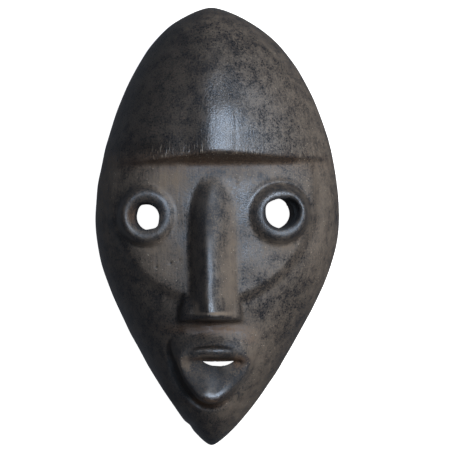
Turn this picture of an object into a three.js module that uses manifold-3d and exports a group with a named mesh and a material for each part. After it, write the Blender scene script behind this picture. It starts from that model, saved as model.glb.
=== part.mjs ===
import * as THREE from "three";
import { mergeVertices } from "three/addons/utils/BufferGeometryUtils.js";
import Module from "manifold-3d";

// A West African face mask, carved and hollowed from one block of dark hardwood, in millimetres.
// It lies on its flat back rim: +Z comes out of the face and +Y runs up the forehead.
// The origin is on the plane of the rim, under the middle of the outline.

const wasm = await Module();
wasm.setup();

// Block: the outline runs from the tip of the crown to the tip of the chin.
const LENGTH = 250;
const CROWN_RUN = 120; // from the tip of the crown down to the widest line
const LEFT_REACH = 66.6; // from the carver's centre line out to each edge
const RIGHT_REACH = 72.6;

// Heights of the carved front over the plane of the rim, along the centre line.
const FACE_DEPTH = 50;
const FOREHEAD_DEPTH = 63;
const FOREHEAD_KEEL = 4; // the soft ridge that runs up the middle of the forehead
const KEEL_BLUNT = 0.12; // half-width of its rounding, as a share of the half-width of the mask
const TEMPLE = 0.8; // share of the half-width where the forehead starts to sink to the flank

// Walls that the hollowing leaves.
const RIM_WALL = 8.5;
const CROWN_WALL = 10;
const CHIN_WALL = 18;
const FACE_WALL = 11;
const FOREHEAD_WALL = 12;

// Brow: the forehead ends in a slanting cut that drops to the plane of the eyes.
const BROW_FROM_TOP = 90.5;
const BROW_RISE = 2.5; // how much higher the brow line ends on the right
const LEDGE_SLOPE = 1.45; // height over width of the slanting cut
const LEDGE_LEAST = 1; // width of the cut where it dies out at the temples

// Cheeks: the plane of the eyes ends below in a low step along an arc.
const CHEEK_STEP = 2.2;
const CHEEK_STEP_WIDTH = 8;
const CHEEK_ARC = { fromTop: 105, reach: 59, run: 62 };

// Nose: a sharp-backed wedge with two wings and a flat base.
const NOSE_FROM_TOP = 98;
const NOSE_LENGTH = 79.5;
const NOSE_ROOT_HALF = 4.8;
const NOSE_HALF = 14.2;
const NOSE_RIDGE_LEFT = 3.6; // the ridge lies to the left of the middle of the nose
const NOSE_WING = 3.4; // how far each wing stands out beyond the side
const NOSE_RISE = 20; // height of the tip over the face
const NOSE_FOOT = 3; // height of the side where it meets the cheek
const NOSE_TIP_DROP = 5;

// Eyes: round tubes that stand out of the face and lean outwards.
// Radii: foot of the ring, crest of its lip, and the hole at the bottom of the bowl.
const LEFT_EYE = { x: -39.3, fromTop: 119.2, lean: -6, foot: 15, crest: 12.1, hole: 7.3 };
const RIGHT_EYE = { x: 37, fromTop: 118, lean: 13, foot: 14.4, crest: 11.7, hole: 8.1 };
const EYE_LIP = 2.2; // from the crest in to the mouth of the bowl
const EYE_HEIGHT = 5.5; // crest over the face
const EYE_BOWL = 8; // from the crest down to the narrow hole
const EYE_STRETCH = 1.08; // taller than wide

// Mouth: two lips around a slit. Each ring of the lips is given from the middle of the slit.
const MOUTH = { x: -1.8, fromTop: 198.3 };
const SLIT = { from: -6.9, to: 11.7, height: 4.4 };
const LIP_RINGS = [
  // foot, under the surface of the face
  { left: 24.7, right: 24.7, corner: 7.1, top: 16.8, bottom: 25.8, rise: [-4, -4, -4] },
  // top of the outer wall: none above the upper lip, tall round the lower one
  { left: 23.8, right: 23.6, corner: 6.6, top: 14.8, bottom: 25.2, rise: [0.4, 5.5, 9] },
  // crease over the roll of the upper lip
  { left: 21.4, right: 21.9, corner: 5.6, top: 7.4, bottom: 22.4, rise: [7.4, 8.6, 14] },
  // crest of both lips
  { left: 19, right: 20.4, corner: 4, top: 5, bottom: 19.6, rise: [11.2, 8.6, 14] },
  // edge where the upper lip turns in, and the inner edge of the lower lip
  { left: 15.8, right: 18.2, corner: 1.4, top: 1.4, bottom: 15.5, rise: [10, 7, 11.5] },
  // mouth of the slit
  { left: 9, right: 13.8, corner: -0.6, top: 0.6, bottom: 5.4, rise: [5, 4, 4.5] },
];
const LIP_LEAN = -2.7; // the point of the lower lip lies to the left of the corners

// Facets
const FACE_COLUMNS = 46;
const BACK_COLUMNS = 6;
const CROWN_ROWS = 17;
const LEDGE_ROWS = 1;
const FACE_ROWS = 40;
const HOLLOW_COLUMNS = 20;
const HOLLOW_ROWS = 26;
const NOSE_COLUMNS = 14;
const NOSE_ROWS = 20;
const RING_SIDES = 28;
const LIP_SIDES = 40;

// Places worked out from the sizes
const TOP = LENGTH / 2;
const WIDEST_Y = TOP - CROWN_RUN;
const CHIN_RUN = LENGTH - CROWN_RUN;
const AXIS_X = (LEFT_REACH - RIGHT_REACH) / 2;
const BROW_Y = TOP - BROW_FROM_TOP;
const BURIED = 10; // how far the nose and eye rings reach down into the face
const CUT_BEYOND = 40; // how far a cutting tool runs past the wood

// How each quarter of the outline bends from the widest line to its tip.
const QUARTERS = {
  leftCrown: { round: 1.97, shoulder: 1.65, waist: -0.03, blunt: -0.3 },
  rightCrown: { round: 1.78, shoulder: 2.04, waist: -0.1, blunt: -0.4 },
  leftJaw: { round: 0.967, shoulder: 2.586, waist: -1.19, blunt: 0.288 },
  rightJaw: { round: 0.94, shoulder: 2.77, waist: -1.44, blunt: 0.181 },
};
const TIP_POWER = 20; // keeps the blunting of a tip to the last few millimetres

const { clamp, lerp, smoothstep, degToRad } = THREE.MathUtils;
const power = (value, exponent) => Math.pow(Math.max(value, 0), exponent);

// Half-width of an outline at height y. The walls are taken off its reach and its run.
function halfWidth(y, right, sideWall = 0, crownWall = 0, chinWall = 0) {
  const crown = y > WIDEST_Y;
  const reach = (right ? RIGHT_REACH : LEFT_REACH) - sideWall;
  const run = crown ? CROWN_RUN - crownWall : CHIN_RUN - chinWall;
  const q = QUARTERS[(right ? "right" : "left") + (crown ? "Crown" : "Jaw")];
  const t = clamp(Math.abs(y - WIDEST_Y) / run, 0, 1);
  const swell = 1 + q.waist * t * t * (1 - t);
  const blunting = q.blunt * Math.sqrt(1 - t) * t ** TIP_POWER;
  return reach * (power(1 - t ** q.shoulder, 1 / q.round) * swell + blunting);
}

// Height of a vaulted cross-section at share s of the half-width.
const vault = (s, fullness) => Math.sqrt(power(1 - Math.abs(s) ** fullness, 1));

// Fall of the centre line towards the crown and the chin.
function centreFall(y, crownFullness, chinFullness) {
  const crown = y > WIDEST_Y;
  const t = clamp(Math.abs(y - WIDEST_Y) / (crown ? CROWN_RUN : CHIN_RUN), 0, 1);
  return vault(t, crown ? crownFullness : chinFullness);
}

const shareAcross = (x, y) => {
  const across = x - AXIS_X;
  return clamp(across / Math.max(halfWidth(y, across > 0), 1e-6), -1, 1);
};

// The plane of the eyes, the cheeks and the jaw: flat in front at the eyes, keeled at the jaw.
function faceHeight(s, y) {
  const jaw = smoothstep(WIDEST_Y - y, 25, 85);
  const blank = FACE_DEPTH * centreFall(y, 2.5, 3) * vault(s, lerp(2.6, 2.1, jaw));
  const x = s * halfWidth(y, s > 0);
  const fromArc = Math.hypot(x / CHEEK_ARC.reach, (y - TOP + CHEEK_ARC.fromTop) / CHEEK_ARC.run);
  const halfStep = CHEEK_STEP_WIDTH / 2 / CHEEK_ARC.run;
  const within = 1 - smoothstep(fromArc, 1 - halfStep, 1 + halfStep);
  return blank + CHEEK_STEP * within * vault(s, 8);
}

// The forehead: a deeper vault, rounder towards the crown, with a soft keel.
function foreheadHeight(s, y) {
  const crown = smoothstep(y, BROW_Y, TOP);
  const keel = FOREHEAD_KEEL * (Math.hypot(s, KEEL_BLUNT) - KEEL_BLUNT);
  const temple = smoothstep(Math.abs(s), TEMPLE, 1) * (1 - crown);
  const depth = lerp(FOREHEAD_DEPTH - keel, FACE_DEPTH, temple);
  return depth * centreFall(y, 2.5, 3) * vault(s, lerp(2.5, 2.1, crown));
}

const browY = (s) => BROW_Y + BROW_RISE * Math.max(s, 0) ** 2;

// Top edge of the slanting cut, where it meets the forehead.
function ledgeY(s) {
  const brow = browY(s);
  const step = foreheadHeight(s, brow) - faceHeight(s, brow);
  return brow + Math.max(step / LEDGE_SLOPE, LEDGE_LEAST);
}

function frontHeight(s, y) {
  const brow = browY(s);
  if (y <= brow) return faceHeight(s, y);
  const cut = faceHeight(s, brow) + LEDGE_SLOPE * (y - brow);
  return Math.max(0, Math.min(foreheadHeight(s, y), Math.max(cut, faceHeight(s, y))));
}

// Moves every vertex of a geometry by place(i, vertex), and merges the seams.
function reshaped(geometry, place) {
  geometry.deleteAttribute("normal");
  geometry.deleteAttribute("uv");
  const position = geometry.getAttribute("position");
  const vertex = new THREE.Vector3();
  for (let i = 0; i < position.count; i++) {
    vertex.fromBufferAttribute(position, i);
    position.setXYZ(i, ...place(i, vertex));
  }
  return mergeVertices(geometry, 1e-4);
}

function solidOf(geometry) {
  return new wasm.Manifold(
    new wasm.Mesh({
      numProp: 3,
      vertProperties: new Float32Array(geometry.getAttribute("position").array),
      triVerts: new Uint32Array(geometry.getIndex().array),
    }),
  );
}

// Even steps in the middle and close ones at the ends, from -1 to 1.
const spread = (a) => a * (1.15 - 0.15 * a ** 6);

// A closed dome on a flat bottom, made from a sphere whose poles are the two tips of an outline.
function dome(columns, rows, heightRow, place, floorZ) {
  const round = columns + BACK_COLUMNS;
  return reshaped(new THREE.SphereGeometry(1, round, rows), (i) => {
    const column = i % (round + 1);
    const row = Math.floor(i / (round + 1));
    const front = column <= columns;
    const seam = column === round || row === 0 || row === rows;
    const along = front ? (2 * column) / columns - 1 : 1 - (2 * (column - columns)) / BACK_COLUMNS;
    const s = spread(along);
    const y = heightRow(row, s);
    const [x, z] = place(s, y);
    return [x, y, front || seam ? z : floorZ];
  });
}

// Heights of the rows: crown to ledge, the ledge itself, and brow to chin.
function frontRow(row, s) {
  if (row <= CROWN_ROWS) {
    const up = Math.cos((Math.PI / 2) * (row / CROWN_ROWS));
    return lerp(ledgeY(s), TOP, up);
  }
  if (row <= CROWN_ROWS + LEDGE_ROWS) return lerp(ledgeY(s), browY(s), (row - CROWN_ROWS) / LEDGE_ROWS);
  const down = spread((row - CROWN_ROWS - LEDGE_ROWS) / FACE_ROWS);
  return lerp(browY(s), -TOP, down);
}

function blockSolid() {
  const rows = CROWN_ROWS + LEDGE_ROWS + FACE_ROWS;
  const place = (s, y) => [AXIS_X + s * halfWidth(y, s > 0), frontHeight(s, y)];
  return solidOf(dome(FACE_COLUMNS, rows, frontRow, place, 0));
}

// The hollow that a wearer's face goes into, open at the back.
function hollowSolid() {
  const below = 1;
  const top = TOP - CROWN_WALL;
  const low = -TOP + CHIN_WALL;
  const place = (s, y) => {
    const half = halfWidth(y, s > 0, RIM_WALL, CROWN_WALL, CHIN_WALL);
    const t = clamp(y > WIDEST_Y ? (y - WIDEST_Y) / (top - WIDEST_Y) : (WIDEST_Y - y) / (WIDEST_Y - low), 0, 1);
    const forehead = smoothstep(y, BROW_Y + 4, BROW_Y + 34);
    const depth = lerp(FACE_DEPTH - FACE_WALL, FOREHEAD_DEPTH - FOREHEAD_WALL, forehead);
    return [AXIS_X + s * half, (depth + below) * vault(t, 2.6) * vault(s, 2.4) - below];
  };
  const heightRow = (row) => lerp(low, top, (1 + Math.cos((Math.PI * row) / HOLLOW_ROWS)) / 2);
  return solidOf(dome(HOLLOW_COLUMNS, HOLLOW_ROWS, heightRow, place, -CUT_BEYOND));
}

// Nose: u runs across it from -1 to 1, and v down it from 0 at the root to 1 at the base.
const wingShare = (v) => smoothstep(v, 0.76, 0.92);
const noseHalf = (v) => lerp(NOSE_HALF, NOSE_ROOT_HALF, Math.exp(-v / 0.12)) + NOSE_WING * wingShare(v);

function noseRise(u, v) {
  const root = 1 - Math.exp(-v / 0.06);
  const ridge = (0.35 * root + 0.65 * v) * NOSE_RISE - NOSE_TIP_DROP * smoothstep(v, 0.9, 1) ** 2;
  const ridgeLeft = NOSE_RIDGE_LEFT * smoothstep(v, 0, 0.35) * (1 - 0.6 * smoothstep(v, 0.75, 1));
  const across = u * noseHalf(v) + ridgeLeft;
  const reach = NOSE_HALF + (across < 0 ? -ridgeLeft : ridgeLeft);
  const back = lerp(NOSE_FOOT * root, ridge, power(1 - Math.abs(across) / reach, 0.85));
  const wing = wingShare(v) * (NOSE_RISE / 2) * vault((Math.abs(u) - 0.72) / 0.42, 2);
  return Math.max(back, wing, NOSE_FOOT * root);
}

function noseSolid() {
  const wedge = new THREE.BoxGeometry(2, 1, 1, NOSE_COLUMNS, NOSE_ROWS, 1);
  return solidOf(
    reshaped(wedge, (i, corner) => {
      const v = 1 - (0.5 + corner.y) ** 1.5;
      const y = TOP - NOSE_FROM_TOP - v * NOSE_LENGTH;
      const x = AXIS_X + corner.x * noseHalf(v);
      const surface = faceHeight(shareAcross(x, y), y);
      return [x, y, corner.z > 0 ? surface + noseRise(corner.x, v) : surface - BURIED];
    }),
  );
}

// Moves a lathe that was turned about Y to an eye, leaning outwards.
function atEye(profile, eye) {
  const y = TOP - eye.fromTop;
  const points = profile.map(([radius, height]) => new THREE.Vector2(radius, height));
  const turned = new THREE.LatheGeometry(points, RING_SIDES);
  const place = new THREE.Matrix4()
    .makeTranslation(eye.x, y, faceHeight(shareAcross(eye.x, y), y))
    .multiply(new THREE.Matrix4().makeRotationY(degToRad(eye.lean)))
    .multiply(new THREE.Matrix4().makeScale(1, EYE_STRETCH, 1))
    .multiply(new THREE.Matrix4().makeRotationX(Math.PI / 2));
  turned.applyMatrix4(place);
  return solidOf(reshaped(turned, (i, p) => [p.x, p.y, p.z]));
}

const eyeRing = (eye) =>
  atEye(
    [
      [0, -BURIED],
      [eye.foot, -BURIED],
      [eye.foot, 0],
      [lerp(eye.crest, eye.foot, 0.75), EYE_HEIGHT * 0.55],
      [lerp(eye.crest, eye.foot, 0.35), EYE_HEIGHT * 0.92],
      [eye.crest, EYE_HEIGHT],
      [eye.crest - EYE_LIP / 2, EYE_HEIGHT * 0.95],
      [0, EYE_HEIGHT * 0.95],
    ],
    eye,
  );

const eyeBore = (eye) =>
  atEye(
    [
      [0, -CUT_BEYOND],
      [eye.hole, -CUT_BEYOND],
      [eye.hole, EYE_HEIGHT - EYE_BOWL],
      [lerp(eye.hole, eye.crest - EYE_LIP, 0.6), EYE_HEIGHT - EYE_BOWL * 0.7],
      [eye.crest - EYE_LIP, EYE_HEIGHT - EYE_BOWL * 0.25],
      [eye.crest - EYE_LIP / 2, EYE_HEIGHT],
      [eye.crest - EYE_LIP / 2, CUT_BEYOND],
      [0, CUT_BEYOND],
    ],
    eye,
  );

// A point of a lip ring at an angle from the right corner: an arch above and a blunt V below.
function lipPoint(ring, angle) {
  const up = Math.sin(angle);
  const along = Math.cos(angle);
  const bend = up >= 0 ? 0.9 : 1.18;
  const arch = power(Math.abs(up), bend);
  const x = (along > 0 ? ring.right : ring.left) * Math.sign(along) * power(Math.abs(along), bend);
  const y = up >= 0 ? lerp(ring.corner, ring.top, arch) : lerp(ring.corner, -ring.bottom, arch);
  const [atTop, atCorner, atBottom] = ring.rise;
  const rise = lerp(atCorner, up >= 0 ? atTop : atBottom, Math.abs(up) ** 1.2);
  return [x + (up < 0 ? LIP_LEAN * arch : 0), y, rise];
}

function lipsSolid() {
  const rings = LIP_RINGS.length;
  const poles = [0, ...LIP_RINGS.map((ring, n) => rings - n), 0];
  const profile = poles.map((radius, n) => new THREE.Vector2(radius, n));
  const mouthY = TOP - MOUTH.fromTop;
  const turned = new THREE.LatheGeometry(profile, LIP_SIDES);
  return solidOf(
    reshaped(turned, (i) => {
      const n = i % poles.length;
      const angle = (2 * Math.PI * Math.floor(i / poles.length)) / LIP_SIDES;
      const pole = n === 0 || n === poles.length - 1;
      const ring = LIP_RINGS[clamp(n - 1, 0, rings - 1)];
      const [dx, dy, rise] = pole ? [0, -SLIT.height / 2, ring.rise[2]] : lipPoint(ring, angle);
      const [x, y] = [MOUTH.x + dx, mouthY + dy];
      return [x, y, faceHeight(shareAcross(x, y), y) + rise];
    }),
  );
}

// A lens-shaped blade that cuts the slit through the wall.
function slitBlade() {
  const y = TOP - MOUTH.fromTop;
  const middle = MOUTH.x + (SLIT.from + SLIT.to) / 2;
  const lens = new THREE.Shape();
  lens.moveTo(MOUTH.x + SLIT.from, y);
  lens.quadraticCurveTo(middle, y - 2 * SLIT.height, MOUTH.x + SLIT.to, y);
  lens.closePath();
  const blade = new THREE.ExtrudeGeometry(lens, { depth: 2 * CUT_BEYOND, bevelEnabled: false, curveSegments: 10 });
  return solidOf(reshaped(blade, (i, p) => [p.x, p.y, p.z]));
}

function carvedMask() {
  const eyes = [LEFT_EYE, RIGHT_EYE];
  let wood = blockSolid();
  for (const form of [noseSolid(), lipsSolid(), ...eyes.map(eyeRing)]) wood = wood.add(form);
  for (const tool of [hollowSolid(), slitBlade(), ...eyes.map(eyeBore)]) wood = wood.subtract(tool);
  return wood;
}

function meshGeometry(solid) {
  const cut = solid.getMesh();
  const geometry = new THREE.BufferGeometry();
  geometry.setAttribute("position", new THREE.BufferAttribute(cut.vertProperties, cut.numProp));
  geometry.setIndex(new THREE.BufferAttribute(cut.triVerts, 1));
  geometry.computeVertexNormals();
  return geometry;
}

const darkWood = new THREE.MeshStandardMaterial({ color: 0x2e2b2a, roughness: 0.5, metalness: 0 });
const mask = new THREE.Mesh(meshGeometry(carvedMask()), darkWood);
mask.name = "mask";

const part = new THREE.Group();
part.add(mask);

export default part;
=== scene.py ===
import math

import bmesh
import bpy
import numpy as np
from bpy.props import FloatProperty, FloatVectorProperty, PointerProperty
from mathutils import Matrix, Vector


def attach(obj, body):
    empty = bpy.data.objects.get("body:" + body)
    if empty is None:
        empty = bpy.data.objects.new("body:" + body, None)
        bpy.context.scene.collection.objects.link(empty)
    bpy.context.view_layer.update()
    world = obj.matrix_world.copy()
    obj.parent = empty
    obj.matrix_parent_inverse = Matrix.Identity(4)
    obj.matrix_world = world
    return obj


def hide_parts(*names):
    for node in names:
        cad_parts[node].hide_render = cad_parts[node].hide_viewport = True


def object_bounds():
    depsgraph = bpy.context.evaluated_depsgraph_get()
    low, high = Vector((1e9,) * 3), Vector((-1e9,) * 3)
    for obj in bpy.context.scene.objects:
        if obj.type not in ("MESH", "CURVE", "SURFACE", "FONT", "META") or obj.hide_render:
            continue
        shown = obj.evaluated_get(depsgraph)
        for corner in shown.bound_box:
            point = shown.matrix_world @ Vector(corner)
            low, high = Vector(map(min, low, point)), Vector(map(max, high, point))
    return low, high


bl_info = {
    "name": "Carved Face Mask",
    "version": (1, 0, 0),
    "blender": (4, 5, 0),
    "location": "View3D > Sidebar > Mask",
    "description": "Carves a hollow wooden face mask and sets the stage for it",
    "category": "Mesh",
}

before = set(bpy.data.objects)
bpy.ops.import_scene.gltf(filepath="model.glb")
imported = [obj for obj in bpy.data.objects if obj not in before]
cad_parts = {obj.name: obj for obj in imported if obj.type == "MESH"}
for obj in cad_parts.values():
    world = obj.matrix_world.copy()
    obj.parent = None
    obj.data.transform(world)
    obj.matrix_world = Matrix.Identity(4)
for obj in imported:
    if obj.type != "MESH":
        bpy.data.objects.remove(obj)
cad_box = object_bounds()

MM = 0.001
LENGTH = (cad_box[1][1] - cad_box[0][1]) / MM


def linear(hex_colour):
    """An sRGB hex colour as linear red, green and blue."""
    channels = (int(hex_colour[at:at + 2], 16) / 255 for at in (1, 3, 5))
    return tuple(c / 12.92 if c <= 0.04045 else ((c + 0.055) / 1.055) ** 2.4 for c in channels)


# Shapes of numbers, used on whole arrays of points at once

def lerp(a, b, share):
    return a + (b - a) * share


def ease(value, start, end):
    """Smooth step from 0 at start to 1 at end."""
    share = np.clip((value - start) / (end - start), 0, 1)
    return share * share * (3 - 2 * share)


def power(value, exponent):
    return np.power(np.maximum(value, 0), exponent)


def soft_max(a, b, round_off):
    """The higher of two surfaces, with the crease between them filled."""
    share = np.clip(0.5 + 0.5 * (a - b) / round_off, 0, 1)
    return lerp(b, a, share) + round_off * share * (1 - share)


def soft_min(a, b, round_off):
    """The lower of two surfaces, with the edge between them rounded."""
    return -soft_max(-a, -b, round_off)


def bell(distance, width):
    return np.exp(-((distance / width) ** 2))


def vault(share, fullness):
    """Height of a vaulted section at a share of its half-width."""
    return np.sqrt(power(1 - np.abs(share) ** fullness, 1))


def mound(x, y, centre, reach, rise, tilt):
    """A dome on an oval foot, tilted across, falling steeply below 0 outside it."""
    across = x - centre[0]
    out = np.hypot(across / reach[0], (y - centre[1]) / reach[1])
    return (rise + tilt * across) * vault(np.minimum(out, 1), 2) - 2.5 * reach[0] * power(out - 1, 1)


def through(value, table, column, soft, wrap=False):
    """A soft curve through one column of a table of stations, closed on itself if wrap."""
    places = [row[0] for row in table]
    spare = 0 if wrap else 3 * soft
    fine = np.linspace(places[0] - spare, places[-1] + spare, 720)
    curve = np.interp(fine, places, [row[column] for row in table])
    reach = max(1, int(2.5 * soft / (fine[1] - fine[0])))
    weights = bell(np.arange(-reach, reach + 1), reach / 2)
    curve = np.convolve(np.pad(curve, reach, "wrap" if wrap else "edge"), weights / weights.sum(), "valid")
    return np.interp(value, fine, curve)


# Sizes and colours that a user would change

def length(name, description, millimetres):
    return FloatProperty(name=name, description=description, default=millimetres * MM, unit="LENGTH")


def colour(name, description, hex_colour):
    return FloatVectorProperty(
        name=name, description=description, default=linear(hex_colour), size=3, subtype="COLOR",
        min=0, max=1)


class MaskForm(bpy.types.PropertyGroup):
    crown_run: length("Crown run", "From the tip of the crown down to the widest line", 120)
    left_reach: length("Left reach", "From the centre line out to the left edge", 66.6)
    right_reach: length("Right reach", "From the centre line out to the right edge", 72.6)
    face_depth: length("Face depth", "Height of the plane of the eyes over the rim", 50)
    forehead_depth: length("Forehead depth", "Height of the forehead over the rim", 63)
    forehead_keel: length("Forehead keel", "Fall of the forehead from its soft ridge to its edges", 5.5)
    brow_from_top: length("Brow", "From the crown down to the foot of the cut under the forehead", 90.5)
    cheek_step: length("Cheek step", "How far the cheek plane stands over the jaw", 3.0)
    nose_rise: length("Nose rise", "Height of the tip of the nose over the face", 20)
    nose_length: length("Nose length", "From the root of the nose to its base", 79.5)
    eye_height: length("Eye height", "Height of the crest of an eye tube over the face", 5.5)
    rim_wall: length("Rim", "Width of the flat back rim at the sides", 8.5)
    face_wall: length("Wall", "Thickness of the wall behind the face", 11)
    voxel: length("Grain of the mesh", "Spacing of the points on the finished surface", 0.88)


class WoodLook(bpy.types.PropertyGroup):
    polished: colour("Polished", "Black patina where hands have rubbed it smooth", "#25262a")
    worn: colour("Worn", "Paler wood that shows through the thin patina", "#57524d")
    # The dust colour also paints light on the shaded underside of the upper lip's roll.
    dust_and_painted_light: colour("Dust", "Dry grey-brown dirt that lies on the unpolished places", "#7d7164")
    earth: colour("Earth", "Redder dirt packed into the creases", "#6b5139")
    pale: colour("Pale specks", "Grains and small scratches that catch the eye", "#b5ab9c")
    # The soot colour is also the black of the painted shade in the creases and in the bores and bowls of
    # the eyes.
    soot_and_shade: colour("Soot", "Black dirt at the bottom of the creases", "#100e0e")
    bare: colour("Bare", "Unpatinated wood of the hollow at the back", "#5a4433")
    mottle: length("Mottle", "Size of the blotches of the patina", 7)
    speckle: length("Speckle", "Size of the pores and dust grains that show", 1.0)
    grain_width: length("Grain", "Width of one band of the wood's grain", 1.6)
    speck_gap: length("Speck gap", "Distance between two pale specks", 2.6)
    hair_width: length("Hair width", "Width of the short scratches over the brow", 0.7)
    roughness: FloatProperty(
        name="Roughness", description="Roughness of the rubbed patina",
        default=0.3, min=0, max=1)


class StageLook(bpy.types.PropertyGroup):
    camera_height: length("Camera height", "From the plane of the rim up to the camera", 1400)
    field: length("Field", "Width of the picture in the plane of the rim", 258.6)
    key_power: FloatProperty(
        name="Key light", description="Power of the large soft light at the right",
        default=10.5, unit="POWER")
    window_power: FloatProperty(
        name="Window light", description="Power of the cool light over the camera that the polish reflects",
        default=16, unit="POWER")
    floor_half: length("Floor", "Half-width of the square floor", 3000)


SETTINGS = {"mask_form": MaskForm, "mask_wood": WoodLook, "mask_stage": StageLook}


# Outline

# How each quarter bends from the widest line to its tip: round, shoulder, waist, blunt.
QUARTERS = {
    ("left", "crown"): (1.97, 1.65, -0.03, -0.30),
    ("right", "crown"): (1.78, 2.04, -0.10, -0.40),
    ("left", "jaw"): (0.967, 2.586, -1.19, 0.288),
    ("right", "jaw"): (0.94, 2.77, -1.44, 0.181),
}
TIP_POWER = 20
# How full the front is along its length, towards the crown and towards the chin.
CROWN_FULLNESS = 2.5
CHIN_FULLNESS = 3


class Outline:
    """Half-widths and centre line of the mask, in millimetres."""

    def __init__(self, form):
        self.crown_run = form.crown_run / MM
        self.chin_run = LENGTH - self.crown_run
        self.reach = {"left": form.left_reach / MM, "right": form.right_reach / MM}
        self.top = LENGTH / 2
        self.widest = self.top - self.crown_run
        self.axis = (self.reach["left"] - self.reach["right"]) / 2

    def quarter(self, y, side, end, walls):
        """Half-width on one side and towards one tip, with a wall taken off it."""
        side_wall, crown_wall, chin_wall = walls
        round_, shoulder, waist, blunt = QUARTERS[(side, end)]
        run = self.crown_run - crown_wall if end == "crown" else self.chin_run - chin_wall
        share = np.clip(np.abs(y - self.widest) / run, 0, 1)
        body = power(1 - share ** shoulder, 1 / round_) * (1 + waist * share ** 2 * (1 - share))
        tip = blunt * np.sqrt(1 - share) * share ** TIP_POWER
        return (self.reach[side] - side_wall) * (body + tip)

    def half(self, y, right, walls=(0, 0, 0)):
        crown = y > self.widest
        left_half = np.where(
            crown, self.quarter(y, "left", "crown", walls), self.quarter(y, "left", "jaw", walls))
        right_half = np.where(
            crown, self.quarter(y, "right", "crown", walls), self.quarter(y, "right", "jaw", walls))
        return np.where(right, right_half, left_half)

    def fall(self, y):
        """The share of its height that the front keeps towards the crown and the chin."""
        crown = y > self.widest
        share = np.clip(np.abs(y - self.widest) / np.where(crown, self.crown_run, self.chin_run), 0, 1)
        return np.where(crown, vault(share, CROWN_FULLNESS), vault(share, CHIN_FULLNESS))

    def share(self, x, y):
        """How far out a point lies, from -1 at the left edge to 1 at the right one."""
        across = x - self.axis
        return np.clip(across / np.maximum(self.half(y, across > 0), 1e-6), -1, 1)


# Carved front

# Fullness across the front: at the eyes and the jaw, over the brow and at the crown.
FACE_FULLNESS = (2.6, 2.1)
FOREHEAD_FULLNESS = (2.5, 2.1)
CHEEK_FULLNESS = 8
# Where the eyes' flat section turns into the jaw's keeled one, below the widest line.
JAW_SPAN = (25, 85)
# The cut over the eyes: how its ends rise, its slope, the rounding of its foot and its edge,
# and how far below it the face goes over into its own surface.
BROW_RISE = 2.5
LEDGE_SLOPE = 1.45
LEDGE_ROUND = {"foot": 2.2, "edge": 0.9}
LEDGE_FADE = (1, 10)
# How blunt the forehead's keel is, how it falls more at its left, from what share of the
# half-width the temples come down to the face, and the arc round the cheeks.
KEEL_BLUNT = 0.07
KEEL_LEFT = {"over": (-22, -3), "fall": 2.4}
TEMPLE = 0.8
CHEEK_ARC = {"from_top": 105, "reach": 59, "run": 62, "width": 6}

# The nose, at shares of its length from the root: left foot, ridge and right foot in x, and
# its rise as a share of the tip's.
NOSE_FROM_TOP = 98
NOSE_STATIONS = (
    (-0.02, -6.0, -2.2, 0.5, -0.08),
    (0.03, -8.6, -2.6, 5.0, 0.12),
    (0.10, -12.0, -3.5, 8.0, 0.29),
    (0.18, -13.8, -4.3, 10.0, 0.42),
    (0.43, -15.8, -5.4, 12.0, 0.63),
    (0.78, -16.0, -5.6, 13.0, 0.875),
    (0.88, -16.4, -5.0, 13.6, 0.955),
    (0.95, -16.8, -4.4, 14.0, 1.015),
    (1.02, -17.0, -4.0, 14.2, 1.085),
)
NOSE_WINGS = (
    {"centre": (-14.9, 175.0), "reach": (6.5, 11.5), "rise": 8.2, "tilt": 0.42},
    {"centre": (9.3, 175.2), "reach": (5.0, 10.7), "rise": 8.4, "tilt": -0.4},
)
# The nose's slope under its base, and the rounding where it meets the face: left, right, and
# what the root has more; then that of its wings, and of the foot and edge of its base.
NOSE_UNDER = 8
NOSE_FOOT_ROUND = {"left": 1.0, "right": 0.5, "root": 1.5}
NOSE_WING_ROUND = 0.9
NOSE_BASE_ROUND = {"foot": 0.6, "edge": 1.0}
# How blunt the ridge is to each side, how much of its right side is flat, and the slope there.
RIDGE_LEFT = 0.08
RIDGE_RIGHT = 0.5
RIDGE_FLAT = 0.13
RIDGE_FLAT_SLOPE = 0.08
# The eyes. By name: their place, the tilt of the ring and the lean of the bore in degrees, the
# foot of the ring and how far it spreads towards the nose, its crest at its high and low side,
# its lip at its thin and thick side with what it drops, the bore and its corners, the groove
# round the other side of the foot, and the side of the bowl that lies in shade.
LEFT_EYE = {
    "x": -39.6, "from_top": 118.9, "tilt": -5, "lean": -6, "foot": 14.6, "spread": 2.5,
    "crest": (11.0, 11.3), "low_at": 0, "lip": (2.8, 5.0), "thin_at": 180, "lip_drop": 0.36,
    "hole": 7.4, "hole_off": (0.7, -0.9), "hole_stretch": 0.95,
    "corners": ((130, 0.10), (-42, 0.15)), "nose_side": 0, "groove": 2.6, "groove_at": 215,
    "shade_at": 80, "shade": 0.6}
RIGHT_EYE = {
    "x": 36.9, "from_top": 117.6, "tilt": 8, "lean": 13, "foot": 13.9, "spread": 5.0,
    "crest": (11.0, 9.5), "low_at": 105, "lip": (1.2, 4.4), "thin_at": 45, "lip_drop": 0.14,
    "hole": 9.1, "hole_off": (-2.1, -0.1), "hole_stretch": 0.92,
    "corners": ((148, 0.10), (20, -0.03)), "nose_side": 190, "groove": 1.4, "groove_at": 75,
    "shade_at": 42, "shade": 1.0}
# Depth of an eye's bowl, and how much taller than wide the eye is.
EYE_BOWL = 8
EYE_STRETCH = 1.08
# How the ring falls upwards, how full its outside is and how steeply that goes on below the
# face, the groove's place and width, and the rounding of the foot away from and by the nose.
EYE_FALL = 0.03
EYE_FULLNESS = 2.6
EYE_SKIRT = 5
EYE_GROOVE = {"off": 0.6, "width": 1.9}
EYE_FOOT_ROUND = (1.0, 4.0)
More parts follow.
